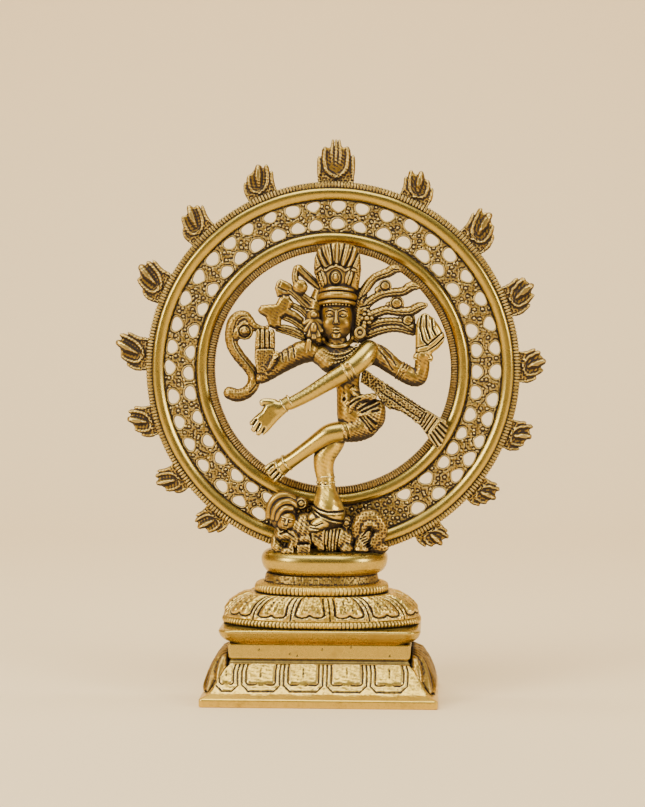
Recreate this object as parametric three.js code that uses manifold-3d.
// A brass nataraja: a four-armed dancer on a dwarf, inside a pierced ring of flames,
// on an oval seat over a lotus pedestal.
// Millimetres, +Z up. The dancer faces -Y and the ring lies in an XZ plane.
// While it is built, x = 0 is near the dancer's standing foot and z = 0 is the surface
// under the pedestal; the last lines move the origin to the middle of the footprint.

import * as THREE from "three";
import { mergeVertices } from "three/addons/utils/BufferGeometryUtils.js";
import Module from "manifold-3d";

const wasm = await Module();
wasm.setup();

// ---------------------------------------------------------------- driving dimensions

const GAP = 0.3; // clearance between neighbouring pieces

// Pedestal, from the table up.
const PEDESTAL_X = -5.85; // the ring stands off-centre on its pedestal
const SEAT_X = -4.5;
const WALL = 3; // wall of the hollow foot and waist
const FOOT_WIDTH = 104.8;
const FOOT_DEPTH = 66;
const FOOT_BAND_TOP = 3.7;
const FOOT_FASCIA_TOP = 6.2;
const FOOT_TOP = 17.8;
const WAIST_WIDTH = 79.7;
const WAIST_DEPTH = 42;
const WAIST_TOP = 26;
const SLAB_WIDTH = 89.5;
const SLAB_DEPTH = 53;
const SLAB_TOP = 33.2;
const LOTUS_WIDTH = 89.3;
const LOTUS_DEPTH = 50;
const LOWER_BEADS_TOP = 36.7;
const DOME_TOP = 47.1;
const UPPER_BEADS_TOP = 51.3;
const UPPER_BEADS_WIDTH = 60;
const UPPER_BEADS_DEPTH = 40;
const NECK_WIDTH = 50.2;
const NECK_DEPTH = 33;
const NECK_TOP = 55.4;
const SEAT_WIDTH = 56.8;
const SEAT_DEPTH = 40;
const SEAT_TOP = 66.2;

// Fastening that holds the castings together, hidden inside the pedestal.
const STUD_RADIUS = 3;
const STUD_BOTTOM = 19;
const STUD_TOP = 62;
const WASHER_RADIUS = 9;
const WASHER_THICKNESS = 1.5;
const NUT_RADIUS = 5.8;
const NUT_HEIGHT = 4.5;

// Ring, measured from its own centre.
const RING_X = -1.2;
const RING_Z = 146.9;
const RING_Y = 5; // middle of the ring's thickness
const OPENING_RADIUS = 53;
const BEAD_BAND_RADIUS = 56.6;
const INNER_RAIL_RADIUS = 61.4;
const WEB_RADIUS = 76.1;
const OUTER_RAIL_RADIUS = 81.2;
const RIM_RADIUS = 84.2;
const RAIL_THICKNESS = 7;
const BEAD_BAND_THICKNESS = 5;
const WEB_THICKNESS = 3.6;
const RIM_THICKNESS = 4.4;
const RING_STEPS = 48; // straight facets in a full turn

// Pierced holes of the web: two rows on shared spokes, none behind the dwarf.
// The spokes are hand laid, so their spacing varies; degrees anticlockwise from +X.
const HOLE_SPOKES = [
  7.6, 15.8, 25.1, 34.2, 43.8, 52, 61, 69.9, 79.4, 88, 96.7, 104, 112.2, 121.4, 129.4, 137.6,
  146, 154.9, 164.3, 172.7, 180.6, 189.8, 199.5, 208.9, 217.6, 227.2, 235.2, 243, 300.7, 310.6,
  319.8, 326.9, 333.8, 342, 350, 359.2,
];
const HOLE_ROWS = [
  { radius: 65.1, size: 2.2 },
  { radius: 72.8, size: 2.5 },
];

// Flames: angle in degrees anticlockwise from +X, length outwards, width.
const FLAME_THICKNESS = 6;
const FLAMES = [
  { angle: 89, length: 18, width: 16 },
  { angle: 112, length: 13, width: 13.5 },
  { angle: 134, length: 13.5, width: 13.5 },
  { angle: 154.5, length: 14.3, width: 14.5 },
  { angle: 175.5, length: 14.2, width: 14.5 },
  { angle: 196, length: 11, width: 13.5 },
  { angle: 215.2, length: 10.6, width: 12 },
  { angle: 231.8, length: 9.8, width: 12 },
  { angle: 64.3, length: 12.5, width: 13.5 },
  { angle: 42.6, length: 15, width: 14 },
  { angle: 21.2, length: 13, width: 14 },
  { angle: 0.8, length: 10.8, width: 13.5 },
  { angle: 340, length: 9.5, width: 13.2 },
  { angle: 320.4, length: 8.8, width: 12.2 },
  { angle: 300.8, length: 8.4, width: 12.4 },
];

// ---------------------------------------------------------------- materials

const brass = (color, roughness) =>
  new THREE.MeshStandardMaterial({ color, roughness, metalness: 1 });
const polished = () => brass(0xc9a45a, 0.28);
const satin = () => brass(0xb08a45, 0.42);
const textured = () => brass(0x8a6730, 0.6);
const steel = () =>
  new THREE.MeshStandardMaterial({ color: 0x9a9a98, roughness: 0.4, metalness: 1 });

// ---------------------------------------------------------------- solids and booleans

// A manifold solid from a closed three.js geometry, with its faces turned outwards.
function solid(geometry) {
  const bare = new THREE.BufferGeometry();
  bare.setAttribute("position", geometry.getAttribute("position"));
  const count = geometry.getAttribute("position").count;
  bare.setIndex(geometry.index ?? [...Array(count).keys()]);
  const merged = mergeVertices(bare, 1e-4);
  const at = (i) => new THREE.Vector3().fromBufferAttribute(merged.getAttribute("position"), i);
  const triangles = [];
  let volume = 0;
  for (let i = 0; i < merged.index.count; i += 3) {
    const [a, b, c] = [0, 1, 2].map((k) => merged.index.getX(i + k));
    if (a === b || b === c || c === a) continue;
    triangles.push(a, b, c);
    volume += at(a).dot(at(b).cross(at(c)));
  }
  if (volume < 0) triangles.reverse();
  return new wasm.Manifold(
    new wasm.Mesh({
      numProp: 3,
      vertProperties: Float32Array.from(merged.getAttribute("position").array),
      triVerts: Uint32Array.from(triangles),
    }),
  );
}

function join(...bodies) {
  return bodies.reduce((whole, body) => whole.add(body));
}

// The largest separate body of a solid, so that a cut leaves no loose crumbs.
function largest(body) {
  const pieces = body.decompose();
  return pieces.reduce((best, next) => (next.volume() > best.volume() ? next : best));
}

function mesh(name, body, material) {
  const { vertProperties, triVerts } = body.getMesh();
  const geometry = new THREE.BufferGeometry();
  geometry.setAttribute("position", new THREE.BufferAttribute(vertProperties, 3));
  geometry.setIndex(new THREE.BufferAttribute(triVerts, 1));
  geometry.computeVertexNormals();
  const made = new THREE.Mesh(geometry, material);
  made.name = name;
  return made;
}

// ---------------------------------------------------------------- basic forms

const CORNER_STEPS = 4; // facets in each rounded corner of a tier

// One outline of a tiered piece: a rectangle with elliptical corners.
const outline = (z, width, depth, cornerX, cornerY) => ({
  z,
  halfWidth: width / 2,
  halfDepth: depth / 2,
  cornerX,
  cornerY,
});
const block = (z, width, depth, corner) => outline(z, width, depth, corner, corner);
const oval = (z, width, depth) => outline(z, width, depth, width * 0.4, depth * 0.46);
const round = (z, radius) => block(z, 2 * radius, 2 * radius, radius);

function outlinePoint(level, step) {
  const quarter = Math.floor(step / (CORNER_STEPS + 1)) % 4;
  const within = (step % (CORNER_STEPS + 1)) / CORNER_STEPS;
  const angle = (quarter + within) * (Math.PI / 2);
  const sideX = quarter === 0 || quarter === 3 ? 1 : -1;
  const sideY = quarter < 2 ? 1 : -1;
  return new THREE.Vector3(
    sideX * (level.halfWidth - level.cornerX) + level.cornerX * Math.cos(angle),
    sideY * (level.halfDepth - level.cornerY) + level.cornerY * Math.sin(angle),
    level.z,
  );
}

// A piece turned from stacked outlines. The levels run up the outside and down the
// inside, so a list that closes on itself makes a hollow piece.
function tiers(levels) {
  const steps = 4 * (CORNER_STEPS + 1);
  const profile = levels.map((level) => new THREE.Vector2(1, level.z));
  const geometry = new THREE.LatheGeometry([...profile, profile[0]], steps);
  const position = geometry.getAttribute("position");
  const rows = levels.length + 1;
  for (let i = 0; i < position.count; i += 1) {
    const level = levels[(i % rows) % levels.length];
    const point = outlinePoint(level, Math.floor(i / rows) % steps);
    position.setXYZ(i, point.x, point.y, point.z);
  }
  return solid(geometry);
}

// A solid stack of outlines with no bore: its two ends close to a point.
function stack(levels) {
  const point = (z) => outline(z, 0, 0, 0, 0);
  return tiers([point(levels[0].z), ...levels, point(levels.at(-1).z)]);
}

// A ring around the Y axis from a closed profile of [radius, y] points.
function hoop(profile) {
  const points = [...profile, profile[0]].map(([radius, y]) => new THREE.Vector2(radius, y));
  return solid(new THREE.LatheGeometry(points, RING_STEPS));
}

function plainHoop(inner, outer, thickness) {
  const half = thickness / 2;
  return hoop([[inner, -half], [outer, -half], [outer, half], [inner, half]]);
}

const THIN_LIMB = 2.7; // radius below which a limb has fewer facets
const FACING = new THREE.Vector3(0, 1, 0);

// A limb swept through [x, y, z, radius] points, with rounded ends. Every limb runs
// roughly in an XZ plane, so each section's first axis leans towards +Y.
function chain(points, grow = 0) {
  const centres = points.map(([x, y, z]) => new THREE.Vector3(x, y, z));
  const radii = points.map((point) => point[3] + grow);
  const steps = centres.slice(1).map((next, i) => next.clone().sub(centres[i]).normalize());
  const last = points.length - 1;
  const directions = centres.map((_, i) =>
    new THREE.Vector3().add(steps[Math.max(i - 1, 0)]).add(steps[Math.min(i, last - 1)]).normalize(),
  );
  const row = (i, along, width) => ({
    centre: centres[i].clone().addScaledVector(directions[i], along * radii[i]),
    direction: directions[i],
    radius: width * radii[i],
  });
  const shoulder = 0.7;
  const rows = [
    row(0, -1, 0),
    row(0, -shoulder, shoulder),
    ...centres.map((_, i) => row(i, 0, 1)),
    row(last, shoulder, shoulder),
    row(last, 1, 0),
  ];
  const sides = Math.max(...radii) - grow < THIN_LIMB ? 6 : 8;
  const profile = rows.map((_, i) => new THREE.Vector2(1, i));
  const geometry = new THREE.LatheGeometry(profile, sides);
  const position = geometry.getAttribute("position");
  for (let i = 0; i < position.count; i += 1) {
    const { centre, direction, radius } = rows[i % rows.length];
    const turn = (2 * Math.PI * (Math.floor(i / rows.length) % sides)) / sides;
    const across = FACING.clone().addScaledVector(direction, -FACING.dot(direction)).normalize();
    const upward = direction.clone().cross(across);
    const point = centre
      .clone()
      .addScaledVector(across, radius * Math.cos(turn))
      .addScaledVector(upward, radius * Math.sin(turn));
    position.setXYZ(i, point.x, point.y, point.z);
  }
  return solid(geometry);
}

function limb(from, to, grow = 0) {
  return chain([from, to], grow);
}

function ellipsoid(centre, radii, grow = 0) {
  const geometry = new THREE.SphereGeometry(1, 10, 6);
  geometry.scale(radii[0] + grow, radii[1] + grow, radii[2] + grow);
  geometry.translate(...centre);
  return solid(geometry);
}

// A short sleeve whose axis runs from one point towards another.
function sleeve(centre, towards, radius, length, grow = 0) {
  const geometry = new THREE.CylinderGeometry(radius + grow, radius + grow, length + 2 * grow, 12);
  const direction = new THREE.Vector3(...towards).sub(new THREE.Vector3(...centre)).normalize();
  const turn = new THREE.Quaternion().setFromUnitVectors(new THREE.Vector3(0, 1, 0), direction);
  geometry.applyQuaternion(turn);
  geometry.translate(...centre);
  return solid(geometry);
}

// A flat plate in an XZ plane from an outline of [x, z] points, centred on y.
function plate(points, y, thickness, grow = 0) {
  const shape = new THREE.Shape(points.map(([x, z]) => new THREE.Vector2(x, z)));
  const geometry = new THREE.ExtrudeGeometry(shape, {
    depth: thickness + 2 * grow,
    bevelEnabled: grow > 0,
    bevelSize: grow,
    bevelThickness: 0.01,
    bevelSegments: 1,
  });
  geometry.rotateX(Math.PI / 2);
  geometry.translate(0, y + thickness / 2 + grow, 0);
  return solid(geometry);
}

// ---------------------------------------------------------------- pedestal

const STUD_BORE = STUD_RADIUS + GAP;

// Section of the swelling side of the foot, as [x, z] from the pedestal's middle.
const SIDE_SWELL = [
  [49, 3.7],
  [51.6, 6.2],
  [50.9, 9],
  [49.6, 13],
  [47.9, 17],
  [45.5, 20],
  [43, 21.3],
  [41.5, 21.3],
  [41.4, 18.6],
  [41.8, 15],
  [44, 10],
  [46.5, 7],
];

function foot() {
  const inner = (z, width, depth) => block(z, width - 2 * WALL, depth - 2 * WALL, 1);
  const swell = (side) => {
    const points = SIDE_SWELL.map(([x, z]) => [side * x, z]);
    return plate(side > 0 ? points : points.reverse(), 0, WAIST_DEPTH);
  };
  const body = tiers([
    block(0, FOOT_WIDTH, FOOT_DEPTH, 1.2),
    block(FOOT_BAND_TOP, FOOT_WIDTH, FOOT_DEPTH, 1.2),
    block(FOOT_FASCIA_TOP, FOOT_WIDTH - 10, FOOT_DEPTH - 10, 1.2),
    block(12, FOOT_WIDTH - 17, FOOT_DEPTH - 16, 1.2),
    block(FOOT_TOP, WAIST_WIDTH, WAIST_DEPTH, 1.2),
    inner(FOOT_TOP, WAIST_WIDTH, WAIST_DEPTH),
    inner(FOOT_FASCIA_TOP, FOOT_WIDTH - 16, FOOT_DEPTH - 16),
    inner(0, FOOT_WIDTH - 4, FOOT_DEPTH - 4),
  ]);
  return body.add(swell(1)).add(swell(-1));
}

function waist() {
  const bottom = FOOT_TOP + GAP;
  return tiers([
    block(bottom, WAIST_WIDTH + 2, WAIST_DEPTH + 2, 1.2),
    block(20.5, WAIST_WIDTH, WAIST_DEPTH, 1.2),
    block(WAIST_TOP, WAIST_WIDTH, WAIST_DEPTH, 1.2),
    block(WAIST_TOP, WAIST_WIDTH - 2 * WALL, WAIST_DEPTH - 2 * WALL, 1),
    block(bottom, WAIST_WIDTH - 2 * WALL, WAIST_DEPTH - 2 * WALL, 1),
  ]);
}

function slab() {
  const bottom = WAIST_TOP + GAP;
  return tiers([
    block(bottom, WAIST_WIDTH + 2, WAIST_DEPTH + 2, 3),
    block(bottom + 2.2, WAIST_WIDTH + 6, WAIST_DEPTH + 7, 4),
    block(SLAB_TOP - 1, SLAB_WIDTH, SLAB_DEPTH, 4),
    block(SLAB_TOP, SLAB_WIDTH - 1.5, SLAB_DEPTH - 1.5, 4),
    round(SLAB_TOP, STUD_BORE),
    round(bottom, STUD_BORE),
  ]);
}

// An oval band with a swollen side, bored for the stud.
function beadBand(bottom, top, width, depth) {
  return tiers([
    oval(bottom, width - 1.6, depth - 1.6),
    oval((bottom + top) / 2, width, depth),
    oval(top, width - 1.6, depth - 1.6),
    round(top, STUD_BORE),
    round(bottom, STUD_BORE),
  ]);
}

function lotusDome() {
  const bottom = LOWER_BEADS_TOP + GAP;
  const rise = DOME_TOP - bottom;
  const drop = LOTUS_WIDTH - UPPER_BEADS_WIDTH;
  const dropDeep = LOTUS_DEPTH - UPPER_BEADS_DEPTH;
  const level = (part, spread) =>
    oval(bottom + rise * part, LOTUS_WIDTH - drop * spread, LOTUS_DEPTH - dropDeep * spread);
  return tiers([
    level(0, 0.02),
    level(0.25, 0.1),
    level(0.6, 0.45),
    level(1, 1),
    round(DOME_TOP, STUD_BORE),
    round(bottom, STUD_BORE),
  ]);
}

function neck() {
  const bottom = UPPER_BEADS_TOP + GAP;
  return tiers([
    oval(bottom, NECK_WIDTH + 1, NECK_DEPTH + 1),
    oval(NECK_TOP, NECK_WIDTH, NECK_DEPTH),
    round(NECK_TOP, STUD_BORE),
    round(bottom, STUD_BORE),
  ]);
}

// The seat plate, with a blind bore from below for the stud.
function seat(boreX) {
  const bottom = NECK_TOP + GAP;
  const plateBody = stack([
    oval(bottom, SEAT_WIDTH - 7, SEAT_DEPTH - 6),
    oval(bottom + 1.4, SEAT_WIDTH - 2, SEAT_DEPTH - 2),
    oval(bottom + 3.4, SEAT_WIDTH, SEAT_DEPTH),
    oval(SEAT_TOP - 1.2, SEAT_WIDTH, SEAT_DEPTH),
    oval(SEAT_TOP, SEAT_WIDTH - 2, SEAT_DEPTH - 2),
  ]);
  const bore = new THREE.CylinderGeometry(STUD_BORE, STUD_BORE, 2 * (STUD_TOP + GAP - bottom), 16);
  bore.rotateX(Math.PI / 2);
  bore.translate(boreX, 0, bottom);
  return plateBody.subtract(solid(bore));
}

function stud() {
  const geometry = new THREE.CylinderGeometry(STUD_RADIUS, STUD_RADIUS, STUD_TOP - STUD_BOTTOM, 16);
  geometry.rotateX(Math.PI / 2);
  geometry.translate(0, 0, (STUD_TOP + STUD_BOTTOM) / 2);
  return solid(geometry);
}

// A washer or a nut: a disc or hexagon around the stud.
function annulus(bottom, height, outerRadius, sides) {
  const bore = new THREE.CylinderGeometry(STUD_BORE, STUD_BORE, 2 * height, 16);
  const body = new THREE.CylinderGeometry(outerRadius, outerRadius, height, sides);
  for (const geometry of [bore, body]) {
    geometry.rotateX(Math.PI / 2);
    geometry.translate(0, 0, bottom + height / 2);
  }
  return solid(body).subtract(solid(bore));
}

function pedestal() {
  const group = new THREE.Group();
  group.position.x = PEDESTAL_X;
  const washerBottom = WAIST_TOP - WASHER_THICKNESS;
  const nutBottom = washerBottom - GAP - NUT_HEIGHT;
  group.add(
    mesh("pedestal_foot", foot(), polished()),
    mesh("pedestal_waist", waist(), polished()),
    mesh("lotus_slab", slab(), polished()),
    mesh(
      "lotus_lower_bead_band",
      beadBand(SLAB_TOP + GAP, LOWER_BEADS_TOP, LOTUS_WIDTH, LOTUS_DEPTH),
      satin(),
    ),
    mesh("lotus_dome", lotusDome(), satin()),
    mesh(
      "lotus_upper_bead_band",
      beadBand(DOME_TOP + GAP, UPPER_BEADS_TOP, UPPER_BEADS_WIDTH, UPPER_BEADS_DEPTH),
      satin(),
    ),
    mesh("neck", neck(), textured()),
    mesh("assembly_washer", annulus(washerBottom, WASHER_THICKNESS, WASHER_RADIUS, 24), steel()),
    mesh("assembly_nut", annulus(nutBottom, NUT_HEIGHT, NUT_RADIUS, 6), steel()),
    mesh("assembly_stud", stud(), steel()),
  );
  return group;
}

// The seat is set a little to one side of the pedestal, with its bore over the stud.
function seatMesh() {
  const shift = PEDESTAL_X - SEAT_X;
  const made = mesh("seat", seat(shift), polished());
  made.position.x = SEAT_X;
  return made;
}

// ---------------------------------------------------------------- ring and flames

// A rail of the ring, rounded on its front and back faces.
function rail(inner, outer) {
  const half = RAIL_THICKNESS / 2;
  const edge = half * 0.55;
  const middle = (inner + outer) / 2;
  return hoop([
    [inner, -edge],
    [middle, -half],
    [outer, -edge],
    [outer, edge],
    [middle, half],
    [inner, edge],
  ]);
}

// The pierced web: a flat ring with two rows of rounded holes.
function web() {
  const shape = new THREE.Shape();
  shape.absarc(0, 0, WEB_RADIUS - GAP, 0, 2 * Math.PI);
  const middle = new THREE.Path();
  middle.absarc(0, 0, INNER_RAIL_RADIUS + GAP, 0, 2 * Math.PI, true);
  shape.holes.push(middle);
  for (const degrees of HOLE_SPOKES) {
    for (const row of HOLE_ROWS) shape.holes.push(webHole(row, degrees));
  }
  const geometry = new THREE.ExtrudeGeometry(shape, {
    depth: WEB_THICKNESS,
    bevelEnabled: false,
    curveSegments: RING_STEPS / 2,
  });
  geometry.rotateX(Math.PI / 2);
  geometry.translate(0, WEB_THICKNESS / 2, 0);
  return solid(geometry);
}

function webHole(row, degrees) {
  const sides = 5;
  const turn = THREE.MathUtils.degToRad(degrees);
  const corners = [];
  for (let i = 0; i < sides; i += 1) {
    const angle = turn - (2 * Math.PI * i) / sides;
    corners.push(
      new THREE.Vector2(
        row.radius * Math.cos(turn) + row.size * Math.cos(angle),
        row.radius * Math.sin(turn) + row.size * Math.sin(angle),
      ),
    );
  }
  return new THREE.Path([...corners, corners[0]]);
}

// Everything of the ring below this plane is cut away, where it meets the seat.
function belowSeat() {
  const size = 4 * RIM_RADIUS;
  const geometry = new THREE.BoxGeometry(size, size, size);
  geometry.translate(0, 0, SEAT_TOP + GAP - RING_Z - size / 2);
  return solid(geometry);
}

// One flame: a flared root, a round belly and a crown of three points.
function flame({ length, width }) {
  const side = [
    [0.46, 0],
    [0.3, 0.16],
    [0.5, 0.45],
    [0.47, 0.8],
    [0.26, 0.78],
  ].map(([x, z]) => [x * width, z * length]);
  const mirrored = side.map(([x, z]) => [-x, z]).reverse();
  return plate([...side, [0, length], ...mirrored], 0, FLAME_THICKNESS);
}

function ring() {
  const group = new THREE.Group();
  group.position.set(RING_X, RING_Y, RING_Z);
  const seatCut = belowSeat();
  const add = (name, body, material) =>
    group.add(mesh(name, largest(body.subtract(seatCut)), material));
  add(
    "ring_inner_bead_band",
    plainHoop(OPENING_RADIUS, BEAD_BAND_RADIUS - GAP, BEAD_BAND_THICKNESS),
    textured(),
  );
  add("ring_inner_rail", rail(BEAD_BAND_RADIUS, INNER_RAIL_RADIUS), polished());
  add("ring_openwork_web", web(), textured());
  add("ring_outer_rail", rail(WEB_RADIUS, OUTER_RAIL_RADIUS), polished());
  add("ring_outer_rim", plainHoop(OUTER_RAIL_RADIUS + GAP, RIM_RADIUS, RIM_THICKNESS), textured());
  FLAMES.forEach((size, i) => {
    const made = mesh(`flame_${String(i + 1).padStart(2, "0")}`, flame(size), satin());
    const turn = THREE.MathUtils.degToRad(size.angle);
    const reach = RIM_RADIUS + GAP;
    made.position.set(reach * Math.cos(turn), 0, reach * Math.sin(turn));
    made.rotation.y = Math.PI / 2 - turn;
    group.add(made);
  });
  return group;
}

// ---------------------------------------------------------------- dancer and dwarf
// Each form takes a growth in millimetres, so that a neighbour can be cut to clear it.

const TORSO_Y = -4;

const forms = {
  necklace(grow) {
    const geometry = new THREE.TorusGeometry(7.2, 1.6 + grow, 6, 16);
    geometry.scale(1.1, 1, 1);
    geometry.rotateX(THREE.MathUtils.degToRad(38));
    geometry.translate(2, TORSO_Y - 1.2, 155);
    return solid(geometry);
  },
  torso(grow) {
    return join(
      ellipsoid([4.5, TORSO_Y, 150], [11, 6.2, 7.5], grow),
      chain([[5, TORSO_Y, 146, 5.4], [6, TORSO_Y, 137, 4], [7, TORSO_Y, 130, 5]], grow),
      limb([2, TORSO_Y, 154, 3.4], [1.2, TORSO_Y - 0.5, 161, 3.2], grow),
    );
  },
  waist_cloth(grow) {
    return join(
      ellipsoid([11.5, -5, 127.5], [10, 6.8, 8.2], grow),
      chain([[13, -6, 124.5, 5.6], [3.5, -8.5, 121.8, 4.9]], grow),
    );
  },
  crown(grow) {
    const level = (z, width, depth) => oval(z, width + 2 * grow, depth + 2 * grow);
    const body = stack([
      level(176.8 - grow, 17, 13.4),
      level(180, 18, 14),
      level(184, 15.6, 12),
      level(187, 15.4, 10.6),
      level(194, 20.4, 10),
      level(200, 18.4, 9),
      level(203.8 + grow, 12, 6),
    ]);
    return body.translate([1, -4.4, 0]);
  },
  head(grow) {
    return join(
      ellipsoid([1, TORSO_Y - 0.8, 168.4], [7.4, 6.6, 9.2], grow),
      limb([1, TORSO_Y - 7, 170, 0.9], [1, TORSO_Y - 7.6, 167, 1.2], grow),
    );
  },
  ear_ornament_left(grow) {
    return chain([[-8.2, -3.8, 171, 2.4], [-9.4, -4.6, 166, 3.2], [-9, -5, 160.5, 2.2]], grow);
  },
  ear_ornament_right(grow) {
    return chain([[12.2, -3.8, 169.4, 2.6], [10.8, -4.8, 163.4, 2.8]], grow);
  },
  hair_locks_left(grow) {
    const y = -2;
    return join(
      chain([[-6, y, 162, 2], [-7, y, 171, 2.4], [-6, y, 180.5, 2]], grow),
      limb([-5.6, y, 181.6, 1.4], [-16.6, y, 193, 1.7], grow),
      chain([[-8, y, 172, 2.2], [-16.7, y, 179.5, 2.2], [-24.6, y, 184.6, 1.9]], grow),
      ellipsoid([-15.8, y - 0.8, 183.6], [3, 2.2, 3], grow),
      plate([[-9, 164], [-9, 177], [-19, 180], [-25, 175.6], [-34, 174.4], [-29, 166]], y, 3, grow),
      chain([[-29.5, y, 166, 1.2], [-14, y, 162.4, 1.5], [-8, y, 161, 1.6]], grow),
    );
  },
  hair_locks_right(grow) {
    const y = -2;
    return join(
      chain([[10, y, 163, 2], [11, y, 171, 2.4], [10, y, 180, 2]], grow),
      chain([[11, y, 177, 1.8], [15.8, y, 184.7, 1.8], [24.7, y, 190.5, 2], [27.4, y, 195, 2]], grow),
      chain([[11, y, 173, 1.8], [20.3, y, 181, 1.7], [29.2, y, 183.2, 1.6], [36, y, 185, 1.7]], grow),
      chain([[11, y, 169, 1.7], [22.5, y, 173.8, 1.5], [38.8, y, 176.6, 1.7]], grow),
      chain([[11, y, 163.4, 1.8], [22.5, y, 166, 1.8], [36.4, y, 166, 2]], grow),
      ellipsoid([20.7, y - 0.8, 186.4], [2.6, 2, 2.6], grow),
      ellipsoid([28, y - 0.8, 178.8], [2.9, 2, 2.9], grow),
      ellipsoid([32, y - 0.8, 170.8], [3.1, 2, 3.1], grow),
    );
  },
  raised_palm_arm(grow) {
    const fingers = [-34.4, -31.9, -29.4, -26.9].map((x, i) =>
      limb([x, -8.5, 156, 1.25], [x + 0.3, -8.5, 163.2 + (i % 3 ? 1.2 : 0), 1.15], grow),
    );
    return join(
      chain([[-4, -4, 154, 4.4], [-16, -4.5, 152, 3.6], [-31, -7, 144.6, 2.7]], grow),
      ellipsoid([-30.8, -8, 151.6], [5.2, 2.8, 8], grow),
      ...fingers,
    );
  },
  cobra(grow) {
    const y = -4;
    return join(
      chain(
        [
          [-46, y, 136.4, 2.4], [-41, y, 135.4, 2.5], [-37, y, 138.4, 2.4], [-34.6, y, 143, 2.3],
          [-39.3, y, 149.4, 2.4], [-44.2, y, 156, 2.5], [-46.4, y, 163, 2.4], [-44.6, y, 169.4, 2.3],
          [-40, y, 171.4, 2.2],
        ],
        grow,
      ),
      ellipsoid([-40, y - 1, 164], [3.4, 2.4, 3.4], grow),
      chain([[-40, y, 171, 1.8], [-37.8, y, 167, 1.4], [-31, y, 166.6, 1.2]], grow),
    );
  },
  crossing_arm(grow) {
    const tips = [[-35.6, 125], [-34.6, 122.4], [-32.8, 120.4], [-30.6, 119.4]];
    const knuckles = [[-30.4, 128], [-29.4, 126.6], [-28, 125.2], [-26.6, 124]];
    const fingers = tips.map(([x, z], i) =>
      limb([knuckles[i][0], -12.4, knuckles[i][1], 1.6], [x, -12.6, z, 1.2], grow),
    );
    return join(
      chain([[15, -5, 154, 5], [8, -10.6, 149, 4.4], [-19, -12.4, 132.4, 3.1]], grow),
      limb([-20, -12.4, 131.8, 3], [-27.4, -12.4, 127.6, 4], grow),
      limb([-26, -12.4, 130, 1.6], [-31.2, -12.4, 132.6, 1.2], grow),
      ...fingers,
    );
  },
  flame_arm(grow) {
    const elbow = [36.2, -4.6, 143.4, 3.6];
    return join(
      chain([[14.5, -4, 154, 4.6], [23, -4, 151.4, 3.9], elbow, [39.6, -5.4, 154, 2.4]], grow),
      ellipsoid([41, -6, 158], [4.6, 3, 3.6], grow),
    );
  },
  held_flame(grow) {
    return chain([[42, -6, 160.4, 4.6], [43, -6, 166, 3.6], [42, -6, 171, 1.2]], grow);
  },
  raised_leg(grow) {
    const toes = [0, 1, 2, 3].map((i) =>
      limb([-25.6 + 1.1 * i, -3.6, 102.4 - 1.3 * i, 1.5], [-30 + 2.1 * i, -2.4, 100 - 1.1 * i, 1.1], grow),
    );
    return join(
      chain(
        [[6, -8.4, 122.2, 4.4], [-4.4, -9.4, 119.2, 4.2], [-14, -8.6, 113.6, 3.4],
          [-21.4, -6, 107, 2.7], [-25.6, -4.2, 102, 3]],
        grow,
      ),
      ...toes,
    );
  },
  standing_leg(grow) {
    return chain(
      [[6, -5, 122, 5], [-2.4, -6, 114, 4.7], [-4.4, -6, 106.8, 4.3], [-4, -6.4, 100, 3.7],
        [-3.4, -7, 95, 3.5], [-2.8, -8, 88.6, 5.4], [-2.6, -8.6, 83.6, 5.2], [-10, -11.6, 79.6, 3.2]],
      grow,
    );
  },
  sash(grow) {
    return join(
      plate([[9, 146.6], [11.6, 147], [44.4, 125.2], [41.4, 120], [10, 139]], -2, 4, grow),
      plate([[40, 121.4], [45, 127.6], [54.4, 116.8], [48.6, 109.4]], -1.6, 4.4, grow),
    );
  },
  armlet(grow) {
    const towards = [-20, -12.4, 132.4];
    return sleeve([3.6, -10.9, 146.4], towards, 5.1, 5, grow);
  },
  wrist_band(grow) {
    return sleeve([-16.8, -12.3, 133.8], [-27.4, -12.4, 127.6], 4, 3.2, grow);
  },
  armlet_flame_arm(grow) {
    return sleeve([29, -4.2, 147.8], [36.2, -4.6, 143.4], 4.6, 3.2, grow);
  },
  anklet_raised_leg(grow) {
    return sleeve([-19, -6.8, 109.2], [-25.6, -4.2, 102], 3.8, 3.4, grow);
  },
  anklet_standing_leg(grow) {
    return sleeve([-3.7, -6.7, 97.6], [-3, -8, 89], 4.5, 3, grow);
  },
  dwarf_head(grow) {
    return join(
      ellipsoid([-20.6, -10.5, 80], [4.8, 4.6, 5.2], grow),
      chain([[-26.6, -6, 74, 2], [-27.8, -6, 82, 2.2], [-23, -6, 87.6, 2.2], [-16, -6, 86, 2]], grow),
      ellipsoid([-21.5, -6, 81], [5.6, 4.4, 6], grow),
    );
  },
  dwarf_body(grow) {
    return join(
      chain([[-20, -8, 73.6, 4.4], [-8, -9, 73, 5.6], [6, -8.4, 73.4, 6]], grow),
      chain([[-19, -11, 73, 2.6], [-21.4, -13, 68.6, 2.6]], grow),
      limb([4, -11, 71.6, 4], [6, -13.6, 69.4, 3], grow),
    );
  },
  dwarf_legs(grow) {
    const coil = new THREE.TorusGeometry(5.6, 2.4 + grow, 6, 14);
    coil.rotateX(Math.PI / 2);
    coil.translate(15.2, -9, 76);
    return join(
      solid(coil),
      limb([12, -7.4, 72, 3.6], [20, -8, 70.4, 3], grow),
      limb([15.6, -10.4, 74.6, 2.6], [13, -11, 69.4, 2.4], grow),
    );
  },
};

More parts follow.
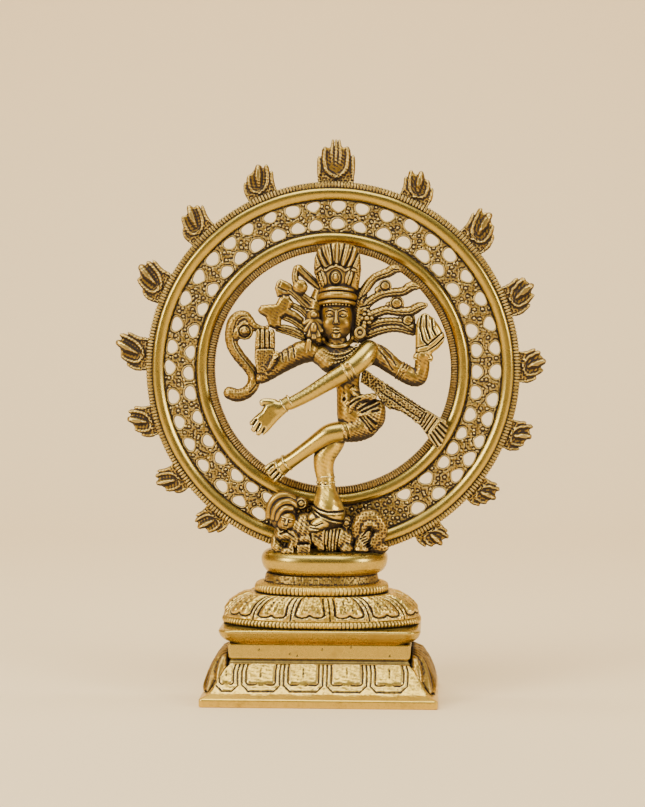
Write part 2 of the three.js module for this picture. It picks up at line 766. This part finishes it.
// The order in which neighbours give way: a piece is cut by every piece before it.
const FIGURE_ORDER = [
  ["necklace", satin],
  ["waist_cloth", satin],
  ["crossing_arm", polished],
  ["torso", satin],
  ["crown", polished],
  ["ear_ornament_left", satin],
  ["ear_ornament_right", satin],
  ["head", satin],
  ["raised_palm_arm", satin],
  ["flame_arm", satin],
  ["held_flame", polished],
  ["raised_leg", polished],
  ["standing_leg", satin],
  ["armlet", satin],
  ["wrist_band", polished],
  ["armlet_flame_arm", satin],
  ["anklet_raised_leg", polished],
  ["anklet_standing_leg", satin],
  ["sash", textured],
  ["cobra", satin],
  ["hair_locks_left", satin],
  ["hair_locks_right", satin],
  ["dwarf_head", satin],
  ["dwarf_body", satin],
  ["dwarf_legs", satin],
];

function touching(a, b) {
  const [boxA, boxB] = [a.boundingBox(), b.boundingBox()];
  return [0, 1, 2].every((k) => boxA.min[k] < boxB.max[k] && boxB.min[k] < boxA.max[k]);
}

// Space taken by the seat below the dwarf.
function seatClearance() {
  const size = 4 * SEAT_WIDTH;
  const geometry = new THREE.BoxGeometry(size, size, size);
  geometry.translate(0, 0, SEAT_TOP + GAP - size / 2);
  return solid(geometry);
}

function figure() {
  const group = new THREE.Group();
  const taken = [seatClearance()];
  for (const [name, material] of FIGURE_ORDER) {
    let body = forms[name](0);
    for (const other of taken) {
      if (touching(body, other)) body = body.subtract(other);
    }
    group.add(mesh(name, largest(body), material()));
    taken.push(forms[name](GAP));
  }
  return group;
}

// ---------------------------------------------------------------- the whole statue

const statue = new THREE.Group();
statue.add(pedestal(), seatMesh(), ring(), figure());
statue.updateMatrixWorld(true);
const extent = new THREE.Box3().setFromObject(statue);
const middle = extent.getCenter(new THREE.Vector3());
statue.position.set(-middle.x, -middle.y, -extent.min.z);

export default statue;
